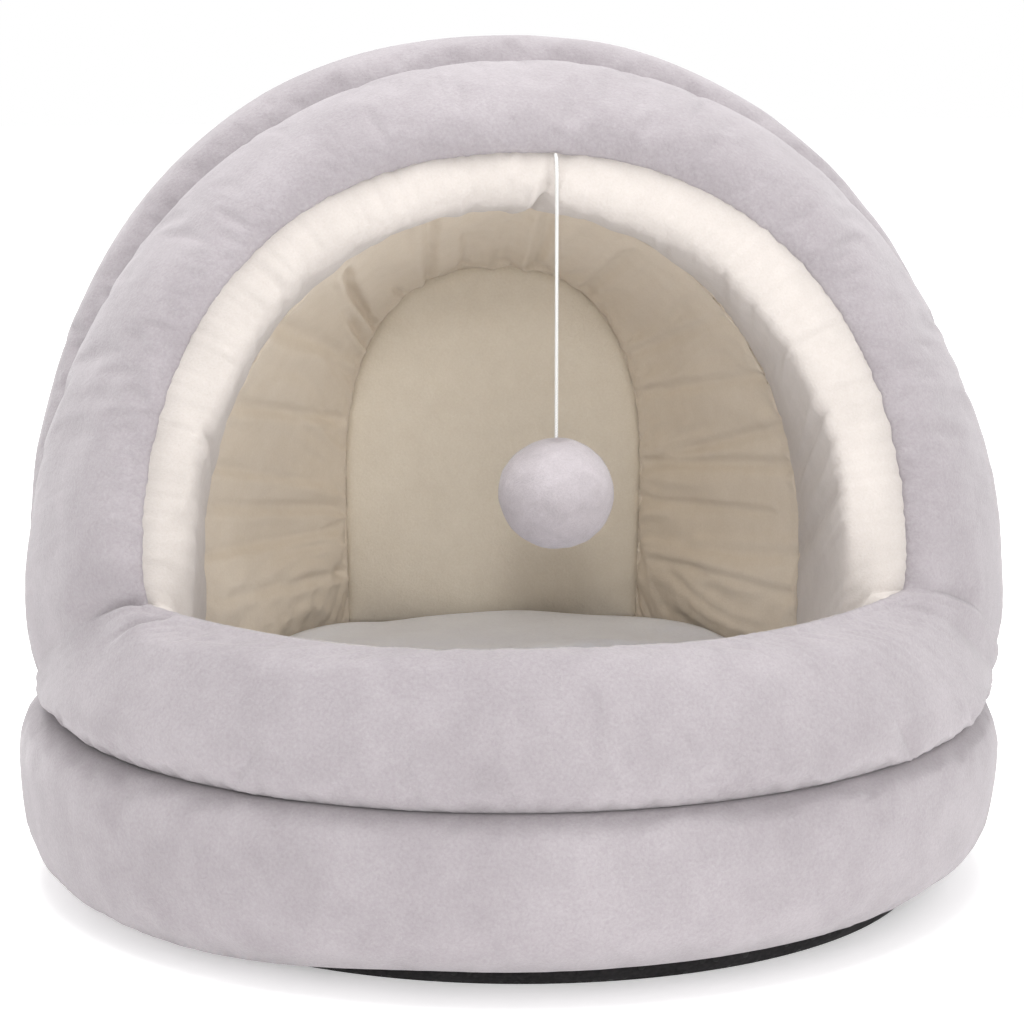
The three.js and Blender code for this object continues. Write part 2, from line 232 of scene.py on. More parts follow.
def pileMaterial(name, look):
    # short pile: soft clouds where the nap is brushed either way, and fine tufts with painted shade in the
    # hollows between them
    material, nodes, links, shader = newMaterial(name)
    coordinates = nodes.new("ShaderNodeTexCoord").outputs["Object"]
    clouds = noiseNode(nodes, links, coordinates, look["clouds"], 3.0, 0.5, 0.2)
    brushed = noiseNode(nodes, links, coordinates, look["brushed"], 4.0, 0.6, 0.25)
    tufts = noiseNode(nodes, links, coordinates, look["tufts"], 3.0, 0.7)
    cloudShare = rangeNode(nodes, links, clouds.outputs["Fac"], 0.35, 0.65, 0.0, 1.0)
    brushedShare = rangeNode(nodes, links, brushed.outputs["Fac"], 0.35, 0.68, 0.0, 1.0)
    tuftShare = rangeNode(nodes, links, tufts.outputs["Fac"], 0.3, 0.7, 0.0, 1.0)
    ground = mixColours(nodes, links, cloudShare, look["deep"], look["pale"])
    nap = mixColours(nodes, links, brushedShare, look["deep"], look["pale"])
    cloth = mixColours(nodes, links, 0.5, ground, nap)
    # painted shade: the root colour darkens the pile where the tuft bump is lowest, in the hollows between
    # tufts
    tuftHollowShade = mixColours(nodes, links, tuftShare, look["root"], (1.0, 1.0, 1.0))
    links.new(mixColours(nodes, links, look["tuftShade"], cloth, tuftHollowShade, "MULTIPLY"),
              shader.inputs["Base Color"])
    napBump = nodes.new("ShaderNodeBump")
    napBump.inputs["Strength"].default_value = look["napStrength"]
    napBump.inputs["Distance"].default_value = 0.003
    links.new(brushed.outputs["Fac"], napBump.inputs["Height"])
    tuftBump = nodes.new("ShaderNodeBump")
    tuftBump.inputs["Strength"].default_value = look["tuftStrength"]
    tuftBump.inputs["Distance"].default_value = 0.0012
    links.new(tufts.outputs["Fac"], tuftBump.inputs["Height"])
    links.new(napBump.outputs["Normal"], tuftBump.inputs["Normal"])
    links.new(tuftBump.outputs["Normal"], shader.inputs["Normal"])
    roughness = rangeNode(nodes, links, brushed.outputs["Fac"], 0.3, 0.7, 0.98, 0.86)
    links.new(roughness, shader.inputs["Roughness"])
    shader.inputs["Specular IOR Level"].default_value = 0.2
    shader.inputs["Sheen Weight"].default_value = look["sheen"]
    shader.inputs["Sheen Roughness"].default_value = 0.5
    return material


greyPlushLook = {
    "deep": (0.361, 0.330, 0.346), "pale": (0.439, 0.405, 0.423), "root": (0.80, 0.78, 0.79),
    "clouds": 13.0, "brushed": 42.0, "tufts": 700.0, "tuftShade": 0.7,
    "napStrength": 0.25, "tuftStrength": 0.35, "sheen": 0.25
}
bandVelvetLook = {
    "deep": (0.585, 0.541, 0.512), "pale": (0.655, 0.608, 0.577), "root": (0.88, 0.85, 0.81),
    "clouds": 16.0, "brushed": 75.0, "tufts": 1000.0, "tuftShade": 0.5,
    "napStrength": 0.2, "tuftStrength": 0.3, "sheen": 0.2
}
# painted light and shade: the den lining is the band's cream fabric, given a browner colour for painted warm
# shade and a brighter one for painted light
denCreamPaintedLightShadeLook = dict(bandVelvetLook, deep=(0.78, 0.69, 0.57), pale=(0.84, 0.755, 0.64))
# painted light: the back panel's lining is the band's cream fabric, given a lighter colour to paint in light
# that the back of the den lacks
backCreamPaintedLightLook = dict(bandVelvetLook, deep=(0.84, 0.768, 0.65), pale=(0.90, 0.833, 0.715))
# painted light: the cushion is grey plush, given a near-white, cool colour and less tuft shade to paint in
# light the den lacks and cancel its warm bounce
cushionPaintedLightLook = dict(greyPlushLook, deep=(0.84, 0.86, 0.93), pale=(0.91, 0.94, 1.0), tuftShade=0.35)
ballLook = dict(greyPlushLook, deep=(0.47, 0.433, 0.452), pale=(0.62, 0.576, 0.60),
                brushed=120.0, tufts=1300.0)

greyPlush = pileMaterial("greyPlush", greyPlushLook)
bandVelvet = pileMaterial("bandVelvet", bandVelvetLook)
denCreamPaintedLightShade = pileMaterial("denCreamPaintedLightShade", denCreamPaintedLightShadeLook)
backCreamPaintedLight = pileMaterial("backCreamPaintedLight", backCreamPaintedLightLook)
cushionPaintedLightPlush = pileMaterial("cushionPaintedLightPlush", cushionPaintedLightLook)
ballPlush = pileMaterial("ballPlush", ballLook)


gripLook = {
    "weave": 420.0, "dots": 150.0, "deep": (0.008, 0.0075, 0.008), "pale": (0.022, 0.02, 0.021),
    "dotColour": (0.012, 0.012, 0.012), "clothRoughness": 0.9, "dotRoughness": 0.55
}


def gripMaterial(look):
    # black cloth with rows of small rubber dots
    material, nodes, links, shader = newMaterial("blackGrip")
    coordinates = nodes.new("ShaderNodeTexCoord").outputs["Object"]
    weave = noiseNode(nodes, links, coordinates, look["weave"], 3.0, 0.6)
    dots = nodes.new("ShaderNodeTexVoronoi")
    dots.inputs["Scale"].default_value = look["dots"]
    dots.inputs["Randomness"].default_value = 0.0
    links.new(coordinates, dots.inputs["Vector"])
    dotShare = rangeNode(nodes, links, dots.outputs["Distance"], 0.22, 0.3, 1.0, 0.0)
    weaveShare = rangeNode(nodes, links, weave.outputs["Fac"], 0.3, 0.7, 0.0, 1.0)
    ground = mixColours(nodes, links, weaveShare, look["deep"], look["pale"])
    links.new(mixColours(nodes, links, dotShare, ground, look["dotColour"]), shader.inputs["Base Color"])
    weaveBump = nodes.new("ShaderNodeBump")
    weaveBump.inputs["Strength"].default_value = 0.4
    weaveBump.inputs["Distance"].default_value = 0.0006
    links.new(weave.outputs["Fac"], weaveBump.inputs["Height"])
    dotBump = nodes.new("ShaderNodeBump")
    dotBump.inputs["Strength"].default_value = 0.6
    dotBump.inputs["Distance"].default_value = 0.0006
    links.new(dotShare, dotBump.inputs["Height"])
    links.new(weaveBump.outputs["Normal"], dotBump.inputs["Normal"])
    links.new(dotBump.outputs["Normal"], shader.inputs["Normal"])
    roughness = rangeNode(nodes, links, dotShare, 0.0, 1.0, look["clothRoughness"], look["dotRoughness"])
    links.new(roughness, shader.inputs["Roughness"])
    shader.inputs["Specular IOR Level"].default_value = 0.25
    return material


elasticLook = {"slant": 55.0, "braid": 330.0, "deep": (0.60, 0.595, 0.58), "pale": (0.80, 0.795, 0.78)}


def elasticMaterial(look):
    # white elastic: a fine braid, read as slanted waves up the string
    material, nodes, links, shader = newMaterial("whiteElastic")
    coordinates = nodes.new("ShaderNodeTexCoord").outputs["Object"]
    heights = []
    for slant in (look["slant"], -look["slant"]):
        turned = nodes.new("ShaderNodeMapping")
        turned.inputs["Rotation"].default_value = (0.0, math.radians(slant), math.radians(20))
        links.new(coordinates, turned.inputs["Vector"])
        braid = nodes.new("ShaderNodeTexWave")
        braid.inputs["Scale"].default_value = look["braid"]
        braid.inputs["Distortion"].default_value = 0.3
        links.new(turned.outputs["Vector"], braid.inputs["Vector"])
        heights.append(braid.outputs["Fac"])
    crossed = nodes.new("ShaderNodeMath")
    crossed.operation = "MAXIMUM"
    links.new(heights[0], crossed.inputs[0])
    links.new(heights[1], crossed.inputs[1])
    links.new(mixColours(nodes, links, crossed.outputs["Value"], look["deep"], look["pale"]),
              shader.inputs["Base Color"])
    bump = nodes.new("ShaderNodeBump")
    bump.inputs["Strength"].default_value = 0.5
    bump.inputs["Distance"].default_value = 0.0003
    links.new(crossed.outputs["Value"], bump.inputs["Height"])
    links.new(bump.outputs["Normal"], shader.inputs["Normal"])
    shader.inputs["Roughness"].default_value = 0.7
    shader.inputs["Sheen Weight"].default_value = 0.2
    return material


blackGrip = gripMaterial(gripLook)
whiteElastic = elasticMaterial(elasticLook)
print("materials ready")


# String and ball

stringSize = {"radius": 0.0008, "x": 0.016, "y": -0.058, "topZ": 0.3392, "hookY": -0.0516, "endZ": 0.213}
ballSize = {
    "halfWidth": 0.026, "halfHeight": 0.025, "centreZ": 0.1875, "lumps": 0.0005,
    "tieDepth": 0.05, "tieWidth": 0.02
}


def makeString(size):
    midZ = (size["topZ"] + size["endZ"]) / 2
    x, y, topZ = size["x"], size["y"], size["topZ"]
    route = [
        (x, size["hookY"], topZ), (x, y + 0.0025, topZ - 0.0018), (x, y + 0.001, topZ - 0.005),
        (x, y + 0.0002, topZ - 0.01), (x, y, topZ - 0.02), (x, y, topZ - 0.04),
        (x, y, midZ), (x, y, size["endZ"] + 0.03), (x, y, size["endZ"] + 0.01), (x, y, size["endZ"])
    ]
    data = bpy.data.curves.new("string", "CURVE")
    data.dimensions = "3D"
    data.bevel_depth = size["radius"]
    data.bevel_resolution = 3
    data.resolution_u = 6
    data.use_fill_caps = True
    line = data.splines.new("BEZIER")
    line.bezier_points.add(len(route) - 1)
    for point, spot in zip(line.bezier_points, route):
        point.co = spot
        point.handle_left_type = point.handle_right_type = "AUTO"
    piece = bpy.data.objects.new("elasticString", data)
    scene.collection.objects.link(piece)
    data.materials.append(whiteElastic)
    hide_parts("string")
    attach(piece, "root")
    print("made string")
    return piece


def makeBall(size):
    bm = bmesh.new()
    bmesh.ops.create_icosphere(bm, subdivisions=6, radius=1)
    centre = Vector((stringSize["x"], stringSize["y"], size["centreZ"]))
    for vert in bm.verts:
        lump = noise.noise(vert.co * 1.7 + Vector((4, 1, 2))) + 0.5 * noise.noise(vert.co * 5)
        reach = 1 + lump * size["lumps"] / size["halfWidth"]
        # the string draws the cloth in at the top
        tie = math.exp(-((1 - vert.co.z) / size["tieWidth"]) ** 2) * size["tieDepth"]
        out = vert.co * (reach - tie)
        vert.co = centre + Vector((out.x * size["halfWidth"], out.y * size["halfWidth"],
                                   out.z * size["halfHeight"]))
    return finishPiece(bm, "plushBall", ballPlush, "ball")


elasticString = makeString(stringSize)
plushBall = makeBall(ballSize)


# The two hood tiers, stuffed between their seams

arches = {
    "opening": {"footHalf": 0.167, "footZ": 0.149, "footY": -0.098, "half": 0.169, "springZ": 0.165,
                "crownZ": 0.340, "crownY": -0.050, "square": 2.2, "shiftFoot": 0.0, "shiftCrown": 0.0},
    "grooveOuter": {"footHalf": 0.213, "footZ": 0.083, "footY": 0.015, "half": 0.217, "springZ": 0.122,
                    "crownZ": 0.368, "crownY": 0.012, "square": 2.06,
                    "shiftFoot": 0.004, "shiftCrown": 0.002},
    "grooveInner": {"footHalf": 0.144, "footZ": 0.083, "footY": 0.012, "half": 0.141, "springZ": 0.140,
                    "crownZ": 0.309, "crownY": 0.012, "square": 2.1, "shiftFoot": -0.003, "shiftCrown": 0.0},
    "backOuter": {"footHalf": 0.096, "footZ": 0.083, "footY": 0.196, "half": 0.096, "springZ": 0.170,
                  "crownZ": 0.308, "crownY": 0.170, "square": 2.4, "shiftFoot": 0.002, "shiftCrown": 0.006},
    "backInner": {"footHalf": 0.073, "footZ": 0.083, "footY": 0.146, "half": 0.074, "springZ": 0.160,
                  "crownZ": 0.266, "crownY": 0.133, "square": 2.4, "shiftFoot": 0.004, "shiftCrown": 0.004},
}
lipSeams = {
    "opening": {"frontRadius": 0.180, "frontZ": 0.143},
    "outer": {"frontRadius": 0.215, "frontZ": 0.083},
    "inner": {"frontRadius": 0.157, "frontZ": 0.083},
}
tierSize = {
    "archSteps": 420, "lipSteps": 270, "legSteps": 30, "bowSteps": 600, "turnSteps": 120,
    "liningShare": 0.4, "gap": 0.0005, "grooveGap": 0.0001, "liningTuck": 0.0010, "seamWave": 0.0008
}


def archLine(arch, steps):
    # an arch from its right foot over the crown to its left foot
    def spot(side, z):
        rise = (z - arch["footZ"]) / (arch["crownZ"] - arch["footZ"])
        shift = blendOf(arch["shiftFoot"], arch["shiftCrown"], rise)
        return Vector((side + shift, blendOf(arch["footY"], arch["crownY"], rise), z))

    leg, line = [], []
    for step in range(tierSize["legSteps"]):
        rise = step / tierSize["legSteps"]
        side = blendOf(arch["footHalf"], arch["half"], math.sin(rise * math.pi / 2))
        leg.append((side, blendOf(arch["footZ"], arch["springZ"], rise)))
    line += [spot(side, z) for side, z in leg]
    for step in range(tierSize["bowSteps"] + 1):
        angle = math.pi * step / tierSize["bowSteps"]
        side = arch["half"] * signedPower(math.cos(angle), 2 / arch["square"])
        rise = max(0.0, math.sin(angle)) ** (2 / arch["square"])
        line.append(spot(side, blendOf(arch["springZ"], arch["crownZ"], rise)))
    line += [spot(-side, z) for side, z in reversed(leg)]
    return evenly(line, steps)


def lipLine(lip, leftFoot, rightFoot, steps):
    # a seam of the lip, from the left foot of its arch round the front to the right foot
    line = []
    for step in range(2 * tierSize["turnSteps"] + 1):
        turn = step / tierSize["turnSteps"] - 1
        foot = leftFoot if turn < 0 else rightFoot
        footAngle = math.atan2(foot.x, -foot.y)
        angle = abs(turn) * footAngle
        away = (1 - math.cos(angle)) / (1 - math.cos(footAngle))
        radius = blendOf(lip["frontRadius"], math.hypot(foot.x, foot.y), away)
        line.append(Vector((radius * math.sin(angle), -radius * math.cos(angle),
                            blendOf(lip["frontZ"], foot.z, away))))
    return evenly(line, steps)


def wholeLoop(arch, lip):
    over = archLine(arch, tierSize["archSteps"])
    return over + lipLine(lip, over[-1], over[0], tierSize["lipSteps"])[1:]


def loopPlace(index):
    # 0 right foot, 1 crown, 2 left foot, 3 front of the lip, 4 right foot again
    if index <= tierSize["archSteps"]:
        return 2 * index / tierSize["archSteps"]
    return 2 + 2 * (index - tierSize["archSteps"]) / tierSize["lipSteps"]


def beforeSwelling(room):
    # a piece starts smaller than it ends, by the room that the swelling takes
    return room


def stuffingAt(rows, place, room):
    after = 1
    while after < len(rows) - 1 and place > rows[after]["at"]:
        after += 1
    low, high = rows[after - 1], rows[after]
    part = softStep(place, low["at"], high["at"])
    stuffing = {key: blendOf(low[key], high[key], part) for key in ("bulge", "spread", "square")}
    stuffing["lean"] = blendOf(low.get("lean", 1), high.get("lean", 1), part)
    stuffing["bulge"] -= beforeSwelling(room)
    return stuffing


def stuffedPoint(start, end, awayFrom, stuffing, share):
    # a point of the stuffed curve between two seams, standing off on the side away from a third
    chord = end - start
    length = chord.length
    chord.normalize()
    out = start - awayFrom
    out -= chord * out.dot(chord)
    out.normalize()
    part = (1 - math.cos(math.pi * share)) / 2
    middle = 2 * part ** stuffing.get("lean", 1) - 1
    height = max(0.0, 1 - abs(middle) ** stuffing["square"]) ** (1 / stuffing["square"])
    off = height * stuffing["bulge"]
    return start + chord * (part * length + off * middle * stuffing["spread"]) + out * off


def partedBy(start, end, side):
    along = (end - start).normalized()
    across = side - start
    across -= along * across.dot(along)
    return across.normalized() * tierSize["gap"] / 2


def roomAt(share, rows):
    # share along the cloth, counted in rows of the grid, or past its end on the hidden wall
    return min(1.0, share * rows["all"] / rows["cloth"])


def namedRows(words, rows):
    return [dict(zip(words, row)) for row in rows]


# each row below holds its numbers in the order of these words
stuffingWords = ("at", "bulge", "spread", "square", "lean")
foldWords = ("at", "start", "end", "width", "depth", "lean")

frontRollSize = {
    "openFeet": False,
    "swelling": {
        "pressure": 3.0, "fullness": 0.016, "stiffness": 3.0, "frames": 12,
        "cap": 0.004, "room": 0.0032
    },
    "rows": {"cloth": 48, "all": 50}, "unevenness": 0.0011, "gathers": 0.0005, "pockets": 0.0006,
    "stuffing": namedRows(stuffingWords, [
        (0.0, 0.0265, 0.27, 2.25),
        (0.12, 0.0250, 0.27, 2.25),
        (0.45, 0.0195, 0.3, 2.2),
        (1.0, 0.020, 0.35, 2.2),
        (1.55, 0.0195, 0.3, 2.2),
        (2.0, 0.023, 0.26, 2.25),
        (3.0, 0.021, 0.3, 2.35),
        (3.88, 0.0190, 0.28, 2.3),
        (4.0, 0.0265, 0.27, 2.25)
    ]),
    "folds": namedRows(foldWords, [
        (2.01, 0.0, 0.38, 0.013, 0.0030, -0.05),
        (2.09, 0.0, 0.42, 0.014, 0.0024, 0.14),
        (2.20, 0.0, 0.34, 0.022, 0.0010, 0.22),
        (1.92, 0.0, 0.30, 0.018, 0.0010, -0.08),
        (3.99, 0.0, 0.26, 0.020, 0.0012, -0.03),
        (3.89, 0.0, 0.28, 0.022, 0.0008, -0.14)
    ])
}
frontLiningSize = {
    "openFeet": False, "heldFrom": 2.08, "heldTo": 3.92,
    "swelling": {
        "pressure": 1.0, "fullness": 0.012, "stiffness": 0.8, "frames": 10,
        "cap": 0.002, "room": 0.0008
    },
    "rows": {"cloth": 36, "all": 38}, "unevenness": 0.0007, "pleats": 0.0011, "gathers": 0.0005,
    "cornerDrop": 0.012, "lipFlatness": 0.85,
    "stuffing": namedRows(stuffingWords, [
        (0.0, 0.024, 0.05, 1.5, 0.27),
        (0.12, 0.029, 0.03, 1.5, 0.24),
        (0.45, 0.031, 0.02, 1.5, 0.25),
        (0.75, 0.028, 0.02, 1.5, 0.31),
        (1.0, 0.022, 0.04, 1.5, 0.35),
        (1.3, 0.025, 0.03, 1.5, 0.32),
        (1.6, 0.026, 0.03, 1.5, 0.27),
        (1.88, 0.022, 0.05, 1.4, 0.27),
        (2.0, 0.017, 0.06, 1.5, 0.3),
        (2.14, 0.0045, 0.2, 2, 1.0),
        (3.86, 0.0045, 0.2, 2, 1.0),
        (4.0, 0.024, 0.05, 1.5, 0.27)
    ]),
    "folds": namedRows(foldWords, [
        (0.945, 0.0, 1.0, 0.011, 0.0042, 0.05),
        (1.08, 0.1, 0.9, 0.012, 0.0012, -0.03),
        (0.30, 0.0, 0.9, 0.016, 0.0009, 0.02),
        (0.18, 0.2, 1.0, 0.016, 0.0016, 0.03),
        (1.72, 0.1, 1.0, 0.016, 0.0014, -0.03),
        (1.45, 0.0, 0.8, 0.015, 0.0012, 0.02)
    ])
}
rearRollSize = {
    "openFeet": True,
    "swelling": {
        "pressure": 3.0, "fullness": 0.016, "stiffness": 3.0, "frames": 12,
        "cap": 0.004, "room": 0.0032
    },
    "rows": {"cloth": 56, "all": 59}, "unevenness": 0.0018, "gathers": 0.0008,
    "stuffing": namedRows(stuffingWords, [
        (0.0, 0.030, 0.12, 2.1),
        (0.45, 0.038, 0.24, 2.1),
        (1.0, 0.036, 0.28, 2.1),
        (1.4, 0.046, 0.26, 2.15),
        (1.7, 0.042, 0.2, 2.15),
        (2.0, 0.030, 0.12, 2.1)
    ]),
    "folds": namedRows(foldWords, [
        (0.30, 0.55, 1.0, 0.030, 0.0020, 0.10),
        (0.72, 0.60, 1.0, 0.026, 0.0022, 0.04),
        (1.05, 0.58, 1.0, 0.028, 0.0018, -0.04),
        (1.38, 0.60, 1.0, 0.026, 0.0024, -0.05),
        (1.74, 0.55, 1.0, 0.030, 0.0020, -0.10)
    ])
}
rearLiningSize = {
    "openFeet": True,
    "swelling": {
        "pressure": 0.6, "fullness": 0.024, "stiffness": 0.8, "frames": 12,
        "cap": 0.004, "room": 0.0
    },
    "rows": {"cloth": 60, "all": 63}, "unevenness": 0.0006, "wrinkles": 0.0024, "gathers": 0.0014,
    "stuffing": namedRows(stuffingWords, [
        (0.0, 0.0005, 0.1, 2),
        (1.0, 0.003, 0.1, 2),
        (2.0, 0.0005, 0.1, 2)
    ]),
    "folds": namedRows(foldWords, [
        (0.13, 0.1, 0.9, 0.010, 0.0018, 0.03),
        (0.20, 0.0, 0.7, 0.012, 0.0022, -0.03),
        (0.26, 0.3, 1.0, 0.010, 0.0020, 0.04),
        (0.33, 0.0, 1.0, 0.012, 0.0026, 0.04),
        (0.41, 0.1, 0.8, 0.010, 0.0020, -0.05),
        (0.48, 0.0, 1.0, 0.013, 0.0024, 0.05),
        (0.60, 0.2, 1.0, 0.012, 0.0018, 0.02),
        (0.78, 0.3, 1.0, 0.014, 0.0022, 0.02),
        (0.93, 0.1, 1.0, 0.012, 0.0034, -0.02),
        (1.06, 0.4, 1.0, 0.010, 0.0016, 0.02),
        (1.11, 0.1, 1.0, 0.012, 0.0034, 0.05),
        (1.27, 0.25, 1.0, 0.010, 0.0046, 0.06),
        (1.33, 0.62, 1.0, 0.009, 0.0032, 0.10),
        (1.22, 0.70, 1.0, 0.008, 0.0026, -0.06),
        (1.42, 0.0, 0.9, 0.013, 0.0020, -0.04),
        (1.55, 0.1, 1.0, 0.012, 0.0024, -0.03),
        (1.64, 0.0, 0.8, 0.010, 0.0020, 0.04),
        (1.71, 0.2, 1.0, 0.012, 0.0024, 0.03),
        (1.79, 0.0, 0.9, 0.010, 0.0020, -0.02),
        (1.86, 0.2, 1.0, 0.012, 0.0018, 0.02)
    ])
}


def loopSeed(place, reach):
    # a round walk through the noise, so that a loop's end meets its start
    angle = math.pi * place / 2
    return Vector((math.cos(angle) * reach, math.sin(angle) * reach, 0))


def nearSeam(share, width):
    # 0 on the seam itself, full beside it, and gone further into the cloth
    apart = min(share, 1 - share)
    return math.exp(-(apart / width) ** 2) * min(1.0, apart / 0.03)


def swellTier(bm, spots, size):
    # the hidden wall, the seams and the open feet are held
    places = {vert: (along, share) for vert, along, share in spots}

    def heldWeight(vert):
        along, share = places[vert]
        part = share * size["rows"]["all"] / size["rows"]["cloth"]
        if part > 1 or min(part, 1 - part) < 0.5 / size["rows"]["cloth"]:
            return 1.0
        if size["openFeet"] and min(along, 1 - along) < 0.002:
            return 1.0
        if "heldFrom" in size:
            place = loopPlace(along * (tierSize["archSteps"] + tierSize["lipSteps"]))
            return 1.0 if size["heldFrom"] < place < size["heldTo"] else 0.0
        return 0.0

    swell(bm, heldWeight, size["swelling"])


def cornerShare(place):
    # full where the band meets the lip, gone a little further along either way
    onRight = (1 - softStep(place, 0.0, 0.12)) if place < 2 else softStep(place, 3.72, 3.94)
    onLeft = softStep(place, 1.88, 2.0) * (1 - softStep(place, 2.06, 2.28))
    return onRight + onLeft


def frontTier():
    mouth = wholeLoop(arches["opening"], lipSeams["opening"])
    outer = wholeLoop(arches["grooveOuter"], lipSeams["outer"])
    inner = wholeLoop(arches["grooveInner"], lipSeams["inner"])
    steps = len(mouth) - 1
    stations = []
    for index in range(steps + 1):
        split = inner[index].lerp(outer[index], tierSize["liningShare"])
        across = (outer[index] - inner[index]).normalized()
        walk = loopSeed(loopPlace(index % steps), 30)
        wave = noise.noise(walk) + 0.6 * noise.noise(walk * 2.3)
        seam = mouth[index] + across * tierSize["seamWave"] * wave
        stations.append((seam, outer[index], inner[index], split, partedBy(seam, split, outer[index])))

    def rollPoint(along, share):
        index = round(along * steps)
        start, end, other, split, shift = stations[index]
        row = round(share * frontRollSize["rows"]["all"])
        if row > frontRollSize["rows"]["cloth"]:
            return split + shift if row < frontRollSize["rows"]["all"] else start
        stuffing = stuffingAt(frontRollSize["stuffing"], loopPlace(index), frontRollSize["swelling"]["room"])
        return stuffedPoint(start, end, other, stuffing, row / frontRollSize["rows"]["cloth"])

    def rollHeight(along, share, co):
        if share * frontRollSize["rows"]["all"] > frontRollSize["rows"]["cloth"] + 0.5:
            return 0.0
        part = roomAt(share, frontRollSize["rows"])
        place = loopPlace(round(along * steps))
        fullness = math.sin(math.pi * part) ** 0.6
        height = frontRollSize["unevenness"] * fullness * (
            noise.noise(co * 11) + 0.6 * noise.noise(co * 26 + Vector((3, 5, 1))))
        height += foldHeight(frontRollSize["folds"], place, part, 4)
        gather = noise.noise(loopSeed(place, 17) + Vector((0, 0, part * 2)))
        gather += 0.6 * noise.noise(loopSeed(place, 38) + Vector((5, 5, part * 3)))
        height += frontRollSize["gathers"] * gather * nearSeam(part, 0.16)
        pocket = math.exp(-((part - 0.82) / 0.1) ** 2) * noise.noise(loopSeed(place, 9) + Vector((1, 2, 9)))
        return height + frontRollSize["pockets"] * pocket

    def liningPoint(along, share):
        index = round(along * steps)
        start, other, end, split, shift = stations[index]
        row = round(share * frontLiningSize["rows"]["all"])
        if row > frontLiningSize["rows"]["cloth"]:
            return split - shift if row < frontLiningSize["rows"]["all"] else start
        place, part = loopPlace(index), row / frontLiningSize["rows"]["cloth"]
        stuffing = stuffingAt(frontLiningSize["stuffing"], place, frontLiningSize["swelling"]["room"])
        point = stuffedPoint(start, end, other, stuffing, part)
        # the band runs on down behind the ends of the lip
        point.z -= cornerShare(place) * frontLiningSize["cornerDrop"] * softStep(part, 0.0, 0.10) * (
            1 - softStep(part, 0.5, 0.9))
        return point

    def liningHeight(along, share, co):
        if share * frontLiningSize["rows"]["all"] > frontLiningSize["rows"]["cloth"] + 0.5:
            return 0.0
        part = roomAt(share, frontLiningSize["rows"])
        place = loopPlace(round(along * steps))
        fullness = math.sin(math.pi * part) ** 0.5
        pleat = noise.noise(loopSeed(place, 11) + Vector((0, 0, part * 0.7)))
        pleat += 0.5 * noise.noise(loopSeed(place, 24) + Vector((2, 8, part * 1.1)))
        height = frontLiningSize["pleats"] * pleat * fullness
        height += frontLiningSize["unevenness"] * noise.noise(co * 30) * fullness
        height += foldHeight(frontLiningSize["folds"], place, part, 4)
        gather = noise.noise(loopSeed(place, 46) + Vector((6, 1, part * 2)))
        height += frontLiningSize["gathers"] * gather * nearSeam(part, 0.2) * min(1.0, fullness * 3)
        onLip = softStep(place, 2.0, 2.15) * (1 - softStep(place, 3.85, 4.0))
        return height * (1 - frontLiningSize["lipFlatness"] * onLip)

    roll, spots = clothGrid(steps, frontRollSize["rows"]["all"], rollPoint)
    swellTier(roll, spots, frontRollSize)
    rumple(roll, spots, rollHeight)
    finishPiece(roll, "frontRoll", greyPlush, "front_roll")
    lining, spots = clothGrid(steps, frontLiningSize["rows"]["all"], liningPoint)
    swellTier(lining, spots, frontLiningSize)
    rumple(lining, spots, liningHeight)
    finishPiece(lining, "frontLining", bandVelvet, "front_lining")


